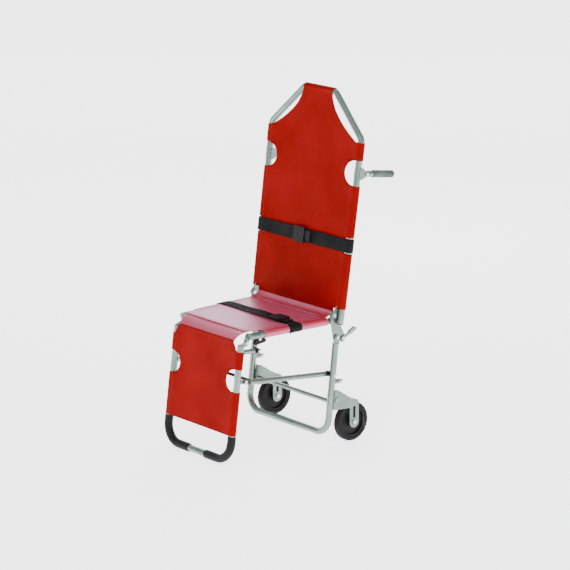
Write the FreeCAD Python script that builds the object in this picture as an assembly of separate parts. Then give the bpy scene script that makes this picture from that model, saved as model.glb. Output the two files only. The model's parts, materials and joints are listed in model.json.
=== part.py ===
import FreeCAD, Part
import math
import os

from FreeCAD import Vector

# Folding stair chair: seat frame, folding back, leg rest, wheeled leg frame and linking struts.
# Millimetres. X runs across the chair, -Y is the front, Z is up. The side view is drawn in (Y, Z)
# from the seat's rear corner, and save_all() then centres the whole chair over the origin.

# Seat
seat_height = 478.0
seat_depth = 425.0
seat_rear_half = 215.0
seat_front_half = 195.5
rail_front_gap = 32.0
rail_rear_gap = 4.0
seat_front_tube_y = -300.0
seat_rear_tube_y = -45.0
# Back
back_recline = 7.8
back_half_low = 247.5
back_half_shoulder = 254.5
back_shoulder = 681.0
back_length = 835.0
back_half_top = 87.5
back_cross_at = 70.0
back_tube_start = -8.0
back_corner_bend = 28.0
back_fold_gap = 25.0
top_wrap_half = 65.5
# Leg rest
leg_tilt = 7.4
leg_rest_half = 186.0
leg_rest_bend = 72.0
leg_rest_pivot_set_back = 24.0
leg_rest_pivot_drop = 24.0
rest_tube_start = 14.0
# Wheeled leg frame and its struts
leg_half = 230.5
leg_lean = 6.5
leg_pivot_y = -6.0
leg_pivot_drop = 62.0
leg_bar_height = 47.0
leg_bar_bend = 60.0
leg_cross_height = 168.0
leg_cross_set_back = 13.0
crank_length = 143.0
strut_half = 207.5
strut_radius = 10.0
rod_radius = 6.0
# Wheels
wheel_radius = 75.0
wheel_width = 28.0
wheel_track = 449.0
wheel_axle_y = 74.0
wheel_axle_radius = 5.0
fork_gap = 3.0
fork_plate = 3.5
fork_arm_radius = 22.0
# Carry handles
handle_at = 555.0
handle_reach = 171.0
handle_pivot_out = 31.0
handle_radius = 12.0
handle_grip_radius = 14.0
handle_grip_length = 100.0
# Tubes, plates and fits
tube_radius = 12.5
tube_wall = 1.5
cross_radius = 9.5
plate = 5.0
layer_gap = 0.5
pin_radius = 4.0
running_fit = 0.05
boss_radius = 15.0
lug_radius = 12.0
plug_length = 24.0
head_length = 6.0
rail_head_length = 3.0
# Fabric, straps and grips
fabric = 2.5
fabric_gap = 0.3
wrap_sink = 0.25
strap_width = 50.0
strap_thick = 2.0
strap_slack = 1.5
chest_strap_at = 285.0
seat_strap_y = -190.0
foot_grip_radius = 16.0
foot_grip_bare = 50.0
leg_fabric_length = 345.0
corner_cut = 42.0
buckle_length = 62.0
buckle_width = 58.0
buckle_thick = 9.0
button_travel = 2.5
# Hand holes and latches
back_hole_length = 98.0
back_hole_depth = 58.0
leg_hole_at = 141.0
leg_hole_length = 90.0
leg_hole_depth = 50.0
latch_round = 7.5

sides = (("left", 1), ("right", -1))


def rad(angle):
    return math.radians(angle)


def side(x, point):
    """A point of the side view at width x."""
    return Vector(x, point[0], point[1])


def along(base, direction, distance, normal=(0.0, 0.0), offset=0.0):
    """base moved by a distance along direction and an offset along normal, in the side view."""
    y = base[0] + direction[0] * distance + normal[0] * offset
    z = base[1] + direction[1] * distance + normal[1] * offset
    return (y, z)


# Side-view frames of each link
back_up = (math.sin(rad(back_recline)), math.cos(rad(back_recline)))
back_rear = (back_up[1], -back_up[0])
seat_corner = (0.0, seat_height)
back_pivot = along(seat_corner, back_up, back_fold_gap * (1 - back_up[0]) / back_up[1], back_rear, -back_fold_gap)

leg_down = (-math.sin(rad(leg_lean)), -math.cos(rad(leg_lean)))
leg_rear = (-leg_down[1], leg_down[0])
leg_pivot = (leg_pivot_y, seat_height - leg_pivot_drop)
strut_rear = along(leg_pivot, leg_down, crank_length)

rest_down = (-math.sin(rad(leg_tilt)), -math.cos(rad(leg_tilt)))
rest_front = (rest_down[1], -rest_down[0])
rest_pivot = (-seat_depth + leg_rest_pivot_set_back, seat_height - leg_rest_pivot_drop)
rest_top = along(rest_pivot, rest_front, leg_rest_pivot_set_back)
rest_length = (rest_top[1] - foot_grip_radius) / -rest_down[1]
strut_vector = (rest_pivot[0] - leg_pivot[0], rest_pivot[1] - leg_pivot[1])
strut_length = math.hypot(*strut_vector)
strut_front = (strut_rear[0] + strut_vector[0], strut_rear[1] + strut_vector[1])
strut_axis = (strut_vector[0] / strut_length, strut_vector[1] / strut_length)
axle = (wheel_axle_y, wheel_radius)
handle_pivot = along(seat_corner, back_up, handle_at, back_rear, handle_pivot_out)

# Layers across the width at the rear and front hinges
rail_outer = seat_rear_half + tube_radius
plate_outer = rail_outer + plate
lug_inner = plate_outer + layer_gap
lug_outer = lug_inner + plate
front_tongue_inner = seat_front_half - tube_radius
front_tongue_outer = front_tongue_inner + plate
rest_tongue_inner = front_tongue_outer + layer_gap
rest_tongue_outer = rest_tongue_inner + plate
wheel_centre = wheel_track / 2
fork_outer = wheel_centre + wheel_width / 2 + fork_gap
fork_inner = wheel_centre - wheel_width / 2 - fork_gap

nodes = {}


def add(name, shape):
    nodes[name] = shape


def group(shapes):
    return Part.makeCompound(shapes)


def mirrored(shape):
    return shape.mirror(Vector(0, 0, 0), Vector(1, 0, 0))


def pair(shape):
    return group([shape, mirrored(shape)])


def add_pair(name, shape):
    """Left and right copies in nodes of their own."""
    add(name + "_left", shape)
    add(name + "_right", mirrored(shape))


def rod(start, end, radius):
    """A round bar between two points."""
    span = end - start
    return Part.makeCylinder(radius, span.Length, start, span)


def pipe(start, end, radius, wall=tube_wall):
    """A straight round tube between two points."""
    return rod(start, end, radius).cut(rod(start, end, radius - wall))


def pin(x0, x1, point, radius):
    """A round bar across the chair at a side-view point."""
    return Part.makeCylinder(radius, abs(x1 - x0), side(min(x0, x1), point), Vector(1, 0, 0))


def outline(points, radius, x0, x1):
    """A flat plate across X whose side view is the points' polygon grown by a radius."""
    corners = [side(x0, p) for p in points]
    if len(corners) == 2:
        return slot_plate(points, radius, x0, x1)
    face = Part.Face(Part.makePolygon(corners + [corners[0]]))
    grown = face.makeOffset2D(radius, 0, False, False, False)
    return Part.Face(grown.OuterWire).extrude(Vector(x1 - x0, 0, 0))


def slot_plate(points, radius, x0, x1):
    """A flat plate across X with round ends at two side-view points."""
    ends = [pin(x0, x1, p, radius) for p in points]
    run = side(0, points[1]) - side(0, points[0])
    half = Vector(0, -run.z, run.y) * (radius / run.Length)
    start = side(x0, points[0])
    finish = side(x0, points[1])
    loop = Part.makePolygon([start + half, finish + half, finish - half, start - half, start + half])
    return Part.Face(loop).extrude(Vector(x1 - x0, 0, 0)).fuse(ends).removeSplitter()


def rounded_path(points, bend):
    """Straight runs joined by tangent arcs of one bend radius."""
    edges = []
    last = points[0]
    for before, corner, after in zip(points, points[1:], points[2:]):
        into = (before - corner).normalize()
        out = (after - corner).normalize()
        half_angle = into.getAngle(out) / 2
        reach = bend / math.tan(half_angle)
        start = corner + into * reach
        finish = corner + out * reach
        bisector = (into + out).normalize()
        middle = corner + bisector * (bend / math.sin(half_angle) - bend)
        edges.append(Part.LineSegment(last, start).toShape())
        edges.append(Part.Arc(start, middle, finish).toShape())
        last = finish
    edges.append(Part.LineSegment(last, points[-1]).toShape())
    return Part.Wire(edges)


def swept(path, radius):
    """A solid round bar along a path."""
    edge = path.Edges[0]
    start = edge.valueAt(edge.FirstParameter)
    circle = Part.Wire(Part.Circle(start, edge.tangentAt(edge.FirstParameter), radius).toShape())
    return path.makePipeShell([circle], True, True)


def bent_tube(points, bend, radius=tube_radius, wall=tube_wall):
    path = rounded_path(points, bend)
    return swept(path, radius).cut(swept(path, radius - wall))


def bolt(x0, x1, point, radius, head_radius, head_thick):
    """A headed pin from x0 to x1, with its head outside x1 and a nut outside x0."""
    shank = pin(x0, x1, point, radius)
    head = pin(x1, x1 + head_thick, point, head_radius)
    nut = pin(x0 - head_thick, x0, point, head_radius)
    return shank.fuse([head, nut]).removeSplitter()


def rail_half(y):
    """Half the seat's width between rail centre-lines at y."""
    return seat_rear_half + (seat_rear_half - seat_front_half) * y / seat_depth


def back_half(distance):
    """Half the back's width between tube centre-lines, at a distance up the back."""
    return back_half_low + (back_half_shoulder - back_half_low) * distance / back_shoulder


def back_point(x, distance, offset=0.0):
    return side(x, along(seat_corner, back_up, distance, back_rear, offset))


def rest_point(x, distance, offset=0.0):
    """A point on the leg rest, offset towards its front face."""
    return side(x, along(rest_top, rest_down, distance, rest_front, offset))


def prism(points, thickness):
    """A flat sheet from its outline, given a thickness along a vector."""
    return Part.Face(Part.makePolygon(points + [points[0]])).extrude(thickness)


def sleeve(start, end):
    """Fabric wrapped round a straight tube."""
    inner = tube_radius + fabric_gap
    return rod(start, end, inner + fabric).cut(rod(start, end, inner))


def seat_frame():
    front_y = -seat_depth + rail_front_gap
    front = Vector(rail_half(front_y), front_y, seat_height)
    rear = Vector(rail_half(-rail_rear_gap), -rail_rear_gap, seat_height)
    add_pair("seat_rail", pipe(front, rear, tube_radius))
    for name, y in (("seat_front_tube", seat_front_tube_y), ("seat_rear_tube", seat_rear_tube_y)):
        half = rail_half(y)
        tube = pipe(Vector(-half, y, seat_height - 2), Vector(half, y, seat_height - 2), cross_radius)
        rails = rod(front, rear, tube_radius)
        add(name, tube.cut([rails, mirrored(rails)]))
    heel = (leg_pivot[0] + 28, leg_pivot[1] - 8)
    body = outline([back_pivot, heel, leg_pivot], boss_radius, rail_outer, plate_outer)
    holes = [pin(rail_outer - 1, plate_outer + 1, p, pin_radius + running_fit) for p in (back_pivot, leg_pivot, heel)]
    fixings = [(rear.y - 8, seat_height), (rear.y - 22, seat_height)]
    holes += [pin(rail_outer - 1, plate_outer + 1, p, 3.0) for p in fixings]
    back_along = (rear - front).normalize()
    rail_line = rod(front, rear + back_along * 30, tube_radius)
    add_pair("seat_hinge_plate", body.cut(holes).cut(rail_line))
    rivets = []
    for point in fixings:
        shank = pin(rail_outer - 1.2, plate_outer, point, 3.0).cut(rail_line)
        rivets.append(shank.fuse(pin(plate_outer, plate_outer + 0.4, point, 5.0)).removeSplitter())
    add("seat_plate_rivets", group(rivets + [mirrored(r) for r in rivets]))
    bolts = []
    for point in (back_pivot, leg_pivot):
        bolts.append(bolt(rail_outer, lug_outer + 0.3, point, pin_radius, 6.8, 3.5))
    add("frame_pivot_bolts", group(bolts + [mirrored(b) for b in bolts]))
    add("seat_front_fittings", pair(seat_front_fitting(front)))
    plug = rod(rear, rear + back_along * 3, tube_radius)
    plug = plug.fuse(rod(rear - back_along * 5, rear, tube_radius - tube_wall))
    add("seat_rail_plugs", pair(plug.removeSplitter()))


def seat_front_fitting(front):
    """The plug, head and tongue at a rail's front end, which carries the leg rest's hinge."""
    axis = (front - Vector(rail_half(-100), -100, seat_height)).normalize()
    head = rod(front, front + axis * rail_head_length, tube_radius)
    plug = rod(front - axis * plug_length, front, tube_radius - tube_wall)
    root = (front.y, seat_height)
    tongue = slot_plate([root, rest_pivot], lug_radius - 1, front_tongue_inner, front_tongue_outer)
    rails = rod(front - axis * 60, front, tube_radius)
    tongue = tongue.cut(rails)
    hole = pin(front_tongue_inner - 1, front_tongue_outer + 1, rest_pivot, pin_radius)
    return head.fuse([plug, tongue]).cut(hole).removeSplitter()


def seat_fabric():
    """The seat sheet lies over both rails, wraps them behind the bare front corners, and ends in a flap."""
    low = seat_height + tube_radius + fabric_gap
    bare_y = -seat_depth + 95
    rear_y = -42.0
    front_y = -seat_depth + 38
    inset = 26.0
    outer = tube_radius * 0.2
    half_rear = rail_half(rear_y) + outer
    half_bare = rail_half(bare_y) + outer
    half_front = rail_half(front_y) - inset
    right_edge = [Vector(half_rear, rear_y, low), Vector(half_bare, bare_y, low)]
    right_edge += [Vector(half_front, bare_y - 34, low), Vector(half_front, front_y, low)]
    left_edge = [Vector(-p.x, p.y, p.z) for p in reversed(right_edge)]
    sheet = prism(right_edge + left_edge, Vector(0, 0, fabric))
    start = Vector(rail_half(bare_y), bare_y, seat_height)
    end = Vector(rail_half(rear_y), rear_y, seat_height)
    wraps = [sleeve(start, end), mirrored(sleeve(start, end))]
    cross = rod(Vector(-400, seat_front_tube_y, seat_height - 2), Vector(400, seat_front_tube_y, seat_height - 2),
                cross_radius + fabric_gap)
    cross_rear = cross.translated(Vector(0, seat_rear_tube_y - seat_front_tube_y, 0))
    band = Part.makeBox(600, strap_width + 6, 60, Vector(-300, seat_strap_y - strap_width / 2 - 3, seat_height - 30))
    rails = [rod(start, end, tube_radius + fabric_gap), mirrored(rod(start, end, tube_radius + fabric_gap))]
    window = band.cut(Part.makeBox(2 * rail_half(seat_strap_y) - 40, 200, 200,
                                   Vector(-rail_half(seat_strap_y) + 20, seat_strap_y - 100, seat_height - 100)))
    add("seat_panel", sheet.fuse(wraps).cut([cross, cross_rear, window] + rails).removeSplitter())


def straps():
    up = Vector(0, 0, 1)
    run = Vector(0, 1, 0)
    half = rail_half(seat_strap_y)
    base = Vector(0, seat_strap_y, seat_height)
    band_strap("seat_strap", "seat_buckle", base, half, up, run, half * 0.42)
    back_normal = back_point(0, 0, -1) - back_point(0, 0)
    back_run = back_point(0, 1) - back_point(0, 0)
    base = back_point(0, chest_strap_at)
    band_strap("chest_strap", "chest_buckle", base, back_half(chest_strap_at), back_normal, back_run, -40.0)


def band_strap(strap_name, buckle_name, base, half, up, run, buckle_x):
    """A strap lying on the fabric, tied round both tubes, with its buckle and press button on top."""
    lift = fabric + fabric_gap
    inner = tube_radius + fabric_gap
    outer = inner + lift + strap_thick
    loops = []
    for sign in (-1, 1):
        centre = base + Vector(sign * half, 0, 0)
        start = centre - run * (strap_width / 2)
        tube = Part.makeCylinder(outer, strap_width, start, run)
        loops.append(tube.cut(Part.makeCylinder(tube_radius + strap_slack, strap_width, start, run)))
    corner = base + Vector(-half, 0, 0) - run * (strap_width / 2) + up * (inner + lift)
    points = [corner, corner + Vector(2 * half, 0, 0)]
    points += [points[1] + run * strap_width, points[0] + run * strap_width]
    add(strap_name, prism(points, up * strap_thick).fuse(loops).removeSplitter())
    floor = base + up * (outer + 0.2) + Vector(buckle_x, 0, 0)

    def block(x0, x1, width, low, high):
        start = floor + Vector(x0, 0, 0) - run * (width / 2) + up * low
        loop = [start, start + Vector(x1 - x0, 0, 0)]
        loop += [loop[1] + run * width, loop[0] + run * width]
        return prism(loop, up * (high - low))

    shell = block(0, buckle_length, buckle_width, 0, buckle_thick)
    recess = block(8, 30, 26, 2.5, buckle_thick + 1)
    slot = block(buckle_length - 24, buckle_length + 1, 40, 3, 5.2)
    shell = shell.makeFillet(3.0, [e for e in shell.Edges if abs(e.Length - buckle_thick) < 0.01])
    tongue = block(buckle_length - 22, buckle_length + 30, 39, 3.2, 5.0)
    add(buckle_name, group([shell.cut([recess, slot]), tongue]))
    button = block(8.3, 29.7, 25.4, 2.5 + button_travel + 0.2, buckle_thick + 0.6)
    add(buckle_name + "_button", button)


def back_frame():
    low = back_point(back_half(back_tube_start), back_tube_start)
    shoulder = back_point(back_half_shoulder, back_shoulder)
    top = back_point(back_half_top, back_length)
    points = [low, shoulder, top]
    points += [Vector(-p.x, p.y, p.z) for p in reversed(points)]
    add("back_tube", bent_tube(points, back_corner_bend))
    half = back_half(back_cross_at)
    tube = pipe(back_point(-half, back_cross_at, 3), back_point(half, back_cross_at, 3), cross_radius)
    edge = rod(low, shoulder, tube_radius)
    add("back_cross_tube", tube.cut([edge, mirrored(edge)]))
    on_line = along(back_pivot, back_rear, back_fold_gap - tube_radius + 6)
    higher = along(on_line, back_up, 26)
    lug = outline([back_pivot, higher, on_line], lug_radius, lug_inner, lug_outer)
    hole = pin(lug_inner - 1, lug_outer + 1, back_pivot, pin_radius + running_fit)
    add("back_hinge_lugs", pair(lug.cut([hole, edge])))
    plug = rod(low, low + (low - shoulder).normalize() * 3, tube_radius)
    plug = plug.fuse(rod(low, low + (shoulder - low).normalize() * 16, tube_radius - tube_wall))
    add("back_tube_plugs", pair(plug.removeSplitter()))


def back_fabric():
    """The back sheet spans the tubes' front sides and wraps them, with hand holes and bare corners."""
    inner = tube_radius + fabric_gap
    rear_face = inner + wrap_sink
    normal = back_point(0, 0, -1) - back_point(0, 0)
    low = 46.0
    up = back_point(0, 1) - back_point(0, 0)
    edge = [back_point(back_half(low) + 3, low, -rear_face), back_point(back_half_shoulder + 3, back_shoulder - 30, -rear_face)]
    edge += [back_point(back_half_shoulder - 32, back_shoulder - 14, -rear_face)]
    middle = ((back_half_shoulder + back_half_top) / 2, (back_shoulder + back_length) / 2)
    edge += [back_point(middle[0] - 0.68 * corner_cut, middle[1] - 0.73 * corner_cut, -rear_face)]
    edge += [back_point(back_half_top + 8, back_length - 44, -rear_face)]
    edge += [back_point(top_wrap_half - 2, back_length - 17, -rear_face)]
    edge += [back_point(top_wrap_half - 2, back_length + 3, -rear_face)]
    other = [Vector(-p.x, p.y, p.z) for p in reversed(edge)]
    sheet = prism(edge + other, normal * (fabric - 2 * wrap_sink))
    start = back_point(back_half(low), low)
    end = back_point(back_half(back_shoulder - 40), back_shoulder - 40)
    wrap = sleeve(start, end)
    top = sleeve(back_point(-top_wrap_half, back_length), back_point(top_wrap_half, back_length))
    cutters = [rod(start, end, inner), rod(back_point(-200, back_length), back_point(200, back_length), inner)]
    cutters.append(mirrored(cutters[0]))
    openings = ((handle_at, back_hole_length, back_hole_depth), (chest_strap_at, strap_width + 6, 20.0))
    for distance, length, depth in openings:
        centre = back_point(back_half(distance), distance)
        corner = centre - up * (length / 2) + normal * 30 - Vector(depth, 0, 0)
        loop = [corner, corner + Vector(depth + 40, 0, 0)]
        loop += [loop[1] + up * length, loop[0] + up * length]
        cut = prism(loop, normal * -60)
        cutters += [cut, mirrored(cut)]
    cutters += nodes["back_hinge_lugs"].Solids
    cutters.append(rod(back_point(-280, back_cross_at, 3), back_point(280, back_cross_at, 3), cross_radius))
    panel = sheet.fuse([wrap, mirrored(wrap), top]).cut(cutters).removeSplitter()
    add("back_panel", panel)


def carry_handles():
    half = back_half(handle_at)
    start = side(half, handle_pivot)
    normal = back_point(0, 0, 1) - back_point(0, 0)
    end = back_point(half, handle_at, handle_reach)
    blade = 4.0
    ears = []
    tube_line = rod(back_point(back_half(0), 0), back_point(back_half_shoulder, back_shoulder), tube_radius)
    on_tube = along(seat_corner, back_up, handle_at, back_rear, 4.0)
    base_low = along(on_tube, back_up, -14)
    base_high = along(on_tube, back_up, 14)
    for x0 in (half - handle_radius - blade - 0.4, half + handle_radius + 0.4):
        ear = outline([handle_pivot, base_low, base_high], 8.0, x0, x0 + blade)
        ears.append(ear)
    width = 2 * (handle_radius + blade + 0.4)
    corner = side(half - width / 2, along(seat_corner, back_up, handle_at + 8, back_rear, 0))
    rise = (back_point(0, 1) - back_point(0, 0)) * 14
    saddle = prism([corner, corner + Vector(width, 0, 0), corner + Vector(width, 0, 0) + rise, corner + rise],
                   normal * (tube_radius + 3))
    bracket = saddle.fuse(ears).cut(tube_line)
    bracket = bracket.cut(pin(half - 30, half + 30, handle_pivot, pin_radius))
    bracket = max(bracket.Solids, key=lambda s: s.Volume) if bracket.Solids else bracket
    add("handle_brackets", pair(bracket))
    axle_pin = pin(half - 19, half + 19, handle_pivot, pin_radius)
    heads = [pin(half - 21, half - 19, handle_pivot, 6.0), pin(half + 19, half + 21, handle_pivot, 6.0)]
    add("handle_pins", pair(axle_pin.fuse(heads).removeSplitter()))
    tube = rod(start - normal * 4, end - normal * 4, handle_radius)
    bore = rod(start + normal * 16, end - normal * 4, handle_radius - tube_wall)
    hole = pin(half - 20, half + 20, handle_pivot, pin_radius + running_fit)
    add_pair("handle_tube", tube.cut([bore, hole]))
    grip = rod(end - normal * handle_grip_length, end, handle_grip_radius)
    grip = grip.cut(rod(end - normal * handle_grip_length, end - normal * 4, handle_radius))
    for step in range(7):
        place = end - normal * (10 + 5 * step)
        ring = rod(place, place + normal * 2.2, handle_grip_radius + 1)
        grip = grip.cut(ring.cut(rod(place, place + normal * 2.2, handle_grip_radius - 0.9)))
    add_pair("handle_grip", grip)


def leg_rest():
    top = rest_point(leg_rest_half, rest_tube_start)
    corner = rest_point(leg_rest_half, rest_length)
    points = [top, corner, Vector(-corner.x, corner.y, corner.z), Vector(-top.x, top.y, top.z)]
    path = rounded_path(points, leg_rest_bend)
    tube = swept(path, tube_radius).cut(swept(path, tube_radius - tube_wall))
    add("leg_rest_tube", tube)
    grip = swept(path, foot_grip_radius).cut(swept(path, tube_radius + running_fit))
    up = rest_point(0, 0) - rest_point(0, 1)
    normal = rest_point(0, 0, 1) - rest_point(0, 0)
    start = rest_point(foot_grip_bare, rest_length + 60, -60)
    loop = [start, start + Vector(300, 0, 0)]
    height = 60 + rest_length - leg_fabric_length - 4
    loop += [loop[1] + up * height, loop[0] + up * height]
    add_pair("foot_grip", grip.common(prism(loop, normal * 120)))
    on_line = along(rest_top, rest_down, rest_tube_start - 2)
    tongue = slot_plate([rest_pivot, on_line], lug_radius - 3, rest_tongue_inner, rest_tongue_outer)
    head = rod(rest_point(leg_rest_half, rest_tube_start - head_length), top, tube_radius)
    plug = rod(top, rest_point(leg_rest_half, rest_tube_start + plug_length), tube_radius - tube_wall)
    below = rod(top, rest_point(leg_rest_half, 80.0), tube_radius)
    hole = pin(rest_tongue_inner - 1, rest_tongue_outer + 1, rest_pivot, pin_radius + running_fit)
    add("leg_rest_hinge_fittings", pair(tongue.cut(below).fuse([head, plug]).cut(hole).removeSplitter()))
    hinge = bolt(front_tongue_inner, rest_tongue_outer + 0.3, rest_pivot, pin_radius, 6.0, 1.2)
    add("leg_rest_pivot_bolts", pair(hinge))
    foot = along(rest_top, rest_down, (strut_front[0] - rest_top[0]) * rest_down[0]
                 + (strut_front[1] - rest_top[1]) * rest_down[1])
    lug_x = leg_rest_half + tube_radius - plate
    lug = slot_plate([strut_front, foot], 8.0, lug_x, lug_x + plate - 1.5)
    lug = lug.cut([below, pin(lug_x - 1, lug_x + plate, strut_front, pin_radius), swept(path, tube_radius)])
    lug = max(lug.Solids, key=lambda s: s.CenterOfMass.y)
    add("leg_rest_strut_lugs", pair(lug))


def leg_rest_fabric():
    inner = tube_radius + fabric_gap
    normal = rest_point(0, 0, 1) - rest_point(0, 0)
    up = rest_point(0, 0) - rest_point(0, 1)
    first = 34.0
    start = rest_point(leg_rest_half, first)
    end = rest_point(leg_rest_half, leg_fabric_length)
    edge = [rest_point(leg_rest_half + 3, leg_fabric_length, inner), rest_point(leg_rest_half + 3, first, inner)]
    edge += [rest_point(leg_rest_half - 24, first - 6, inner), rest_point(leg_rest_half - 40, -6.0, inner)]
    other = [Vector(-p.x, p.y, p.z) for p in reversed(edge)]
    sheet = prism(edge + other, normal * fabric)
    wrap = sleeve(start, end)
    cutters = [rod(start, end, inner), mirrored(rod(start, end, inner))]
    centre = rest_point(leg_rest_half, leg_hole_at)
    corner = centre - up * (leg_hole_length / 2) + normal * 30 - Vector(leg_hole_depth, 0, 0)
    loop = [corner, corner + Vector(leg_hole_depth + 40, 0, 0)]
    loop += [loop[1] + up * leg_hole_length, loop[0] + up * leg_hole_length]
    cut = prism(loop, normal * -60)
    cutters += [cut, mirrored(cut)]
    add("leg_rest_panel", sheet.fuse([wrap, mirrored(wrap)]).cut(cutters).removeSplitter())


def leg_frame():
    tube_top = 27.0
    bar = (leg_pivot[1] - leg_bar_height) / -leg_down[1]
    top = side(leg_half, along(leg_pivot, leg_down, tube_top))
    corner = side(leg_half, along(leg_pivot, leg_down, bar))
    points = [top, corner, Vector(-corner.x, corner.y, corner.z), Vector(-top.x, top.y, top.z)]
    tube = bent_tube(points, leg_bar_bend)
    cross_hole = pin(leg_half - 30, leg_half + 30, strut_rear, pin_radius)
    add("leg_frame_tube", tube.cut([cross_hole, mirrored(cross_hole)]))
    centre = behind_leg(leg_cross_height, leg_cross_set_back)
    cross = pipe(side(-leg_half, centre), side(leg_half, centre), cross_radius - 1)
    legs = rod(top, corner, tube_radius)
    add("leg_cross_tube", cross.cut([legs, mirrored(legs)]))
    head = rod(side(leg_half, along(leg_pivot, leg_down, tube_top - head_length)), top, tube_radius)
    plug = rod(top, side(leg_half, along(leg_pivot, leg_down, tube_top + plug_length)), tube_radius - tube_wall)
    tongue = slot_plate([leg_pivot, along(leg_pivot, leg_down, tube_top - 8)], lug_radius, lug_inner, lug_outer)
    hole = pin(lug_inner - 1, lug_outer + 1, leg_pivot, pin_radius + running_fit)
    fitting = tongue.cut(legs).fuse([head, plug]).cut(hole).removeSplitter()
    add("leg_end_fittings", pair(fitting))
    bolt_inner = strut_half - strut_radius
    pivot = pin(bolt_inner - 0.3, leg_half + tube_radius, strut_rear, pin_radius)
    pivot = pivot.fuse([pin(leg_half + tube_radius, leg_half + tube_radius + 3, strut_rear, 7.0),
                        pin(bolt_inner - 3.3, bolt_inner - 0.3, strut_rear, 7.0)])
    add("strut_rear_bolts", pair(pivot.removeSplitter()))


def behind_leg(height, distance):
    """A point a distance behind the leg's centre-line at a height."""
    reach = (leg_pivot[1] - height) / -leg_down[1]
    return along(leg_pivot, leg_down, reach, leg_rear, distance)


def wheel_forks():
    """Two cheek plates and a curved crown over each wheel, on a saddle behind the leg."""
    top = side(leg_half, along(leg_pivot, leg_down, 150))
    low = side(leg_half, along(leg_pivot, leg_down, 330))
    leg = rod(top, low, tube_radius)
    arm_top = (axle[0], wheel_radius * 2 - 7)
    parts = []
    for x0 in (fork_inner - fork_plate, fork_outer):
        arm = slot_plate([arm_top, axle], fork_arm_radius, x0, x0 + fork_plate)
        slot = slot_plate([(axle[0], axle[1] + 56), (axle[0], axle[1] + 22)], 6.0, x0 - 1, x0 + fork_plate + 1)
        gusset = outline([arm_top, behind_leg(150, 16), behind_leg(208, 16), (axle[0] - 52, wheel_radius * 2 + 34)],
                         10.0, x0, x0 + fork_plate)
        cheek = arm.fuse(gusset).cut([slot, pin(x0 - 1, x0 + fork_plate + 1, axle, wheel_axle_radius)])
        parts.append(cheek)
    crown_inner = wheel_radius + 7
    ring = Part.makeCylinder(crown_inner + 3, fork_outer - fork_inner, side(fork_inner, axle), Vector(1, 0, 0))
    ring = ring.cut(Part.makeCylinder(crown_inner, fork_outer - fork_inner, side(fork_inner, axle), Vector(1, 0, 0)))
    keep = Part.makeBox(200, 74, 120, side(150, (axle[0] - 52, axle[1] + 40)))
    crown = ring.common(keep)
    behind = behind_leg(178, 22)
    saddle = outline([behind_leg(196, 10), behind_leg(160, 10), behind_leg(166, 17), behind_leg(190, 17)],
                     4.0, fork_inner, fork_outer)
    boss = pin(fork_outer + fork_plate, fork_outer + fork_plate + 3, behind, 11.0)
    cross = pin(0, leg_half, behind_leg(leg_cross_height, leg_cross_set_back), cross_radius - 1)
    fork = parts[0].fuse([parts[1], crown, saddle, boss]).cut([leg, cross]).removeSplitter()
    add_pair("wheel_fork", max(fork.Solids, key=lambda s: s.Volume))
    add("wheel_axle_bolts", pair(bolt(fork_inner - fork_plate, fork_outer + fork_plate, axle,
                                      wheel_axle_radius, 8.0, 5.0)))


def ring_of(profile):
    """A wheel part from its half section in (across, radius), turned about the axle."""
    points = [Vector(wheel_centre + x, axle[0], axle[1] + r) for x, r in profile]
    face = Part.Face(Part.makePolygon(points + [points[0]]))
    return face.revolve(side(0, axle), Vector(1, 0, 0), 360)


def wheels():
    half = wheel_width / 2
    rim = wheel_radius - 17
    tyre = [(-half + 2, rim), (half - 2, rim), (half, rim + 5), (half, wheel_radius - 5),
            (half - 2.5, wheel_radius - 1.3), (half - 7, wheel_radius), (-half + 7, wheel_radius),
            (-half + 2.5, wheel_radius - 1.3), (-half, wheel_radius - 5), (-half, rim + 5)]
    bush = wheel_axle_radius + running_fit
    hub = [(-half, 9.0), (-half, 16.0), (-4.0, 19.0), (-4.0, rim - 8), (-half + 2, rim - 6), (-half + 2, rim),
           (half - 2, rim), (half - 2, rim - 6), (4.0, rim - 8), (4.0, 19.0), (half, 16.0), (half, 9.0)]
    sleeve_profile = [(-half - 1.5, bush), (-half - 1.5, 9.0), (half + 1.5, 9.0), (half + 1.5, bush)]
    add_pair("tyre", ring_of(tyre))
    add_pair("wheel_hub", ring_of(hub))
    add_pair("wheel_bush", ring_of(sleeve_profile))


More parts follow.
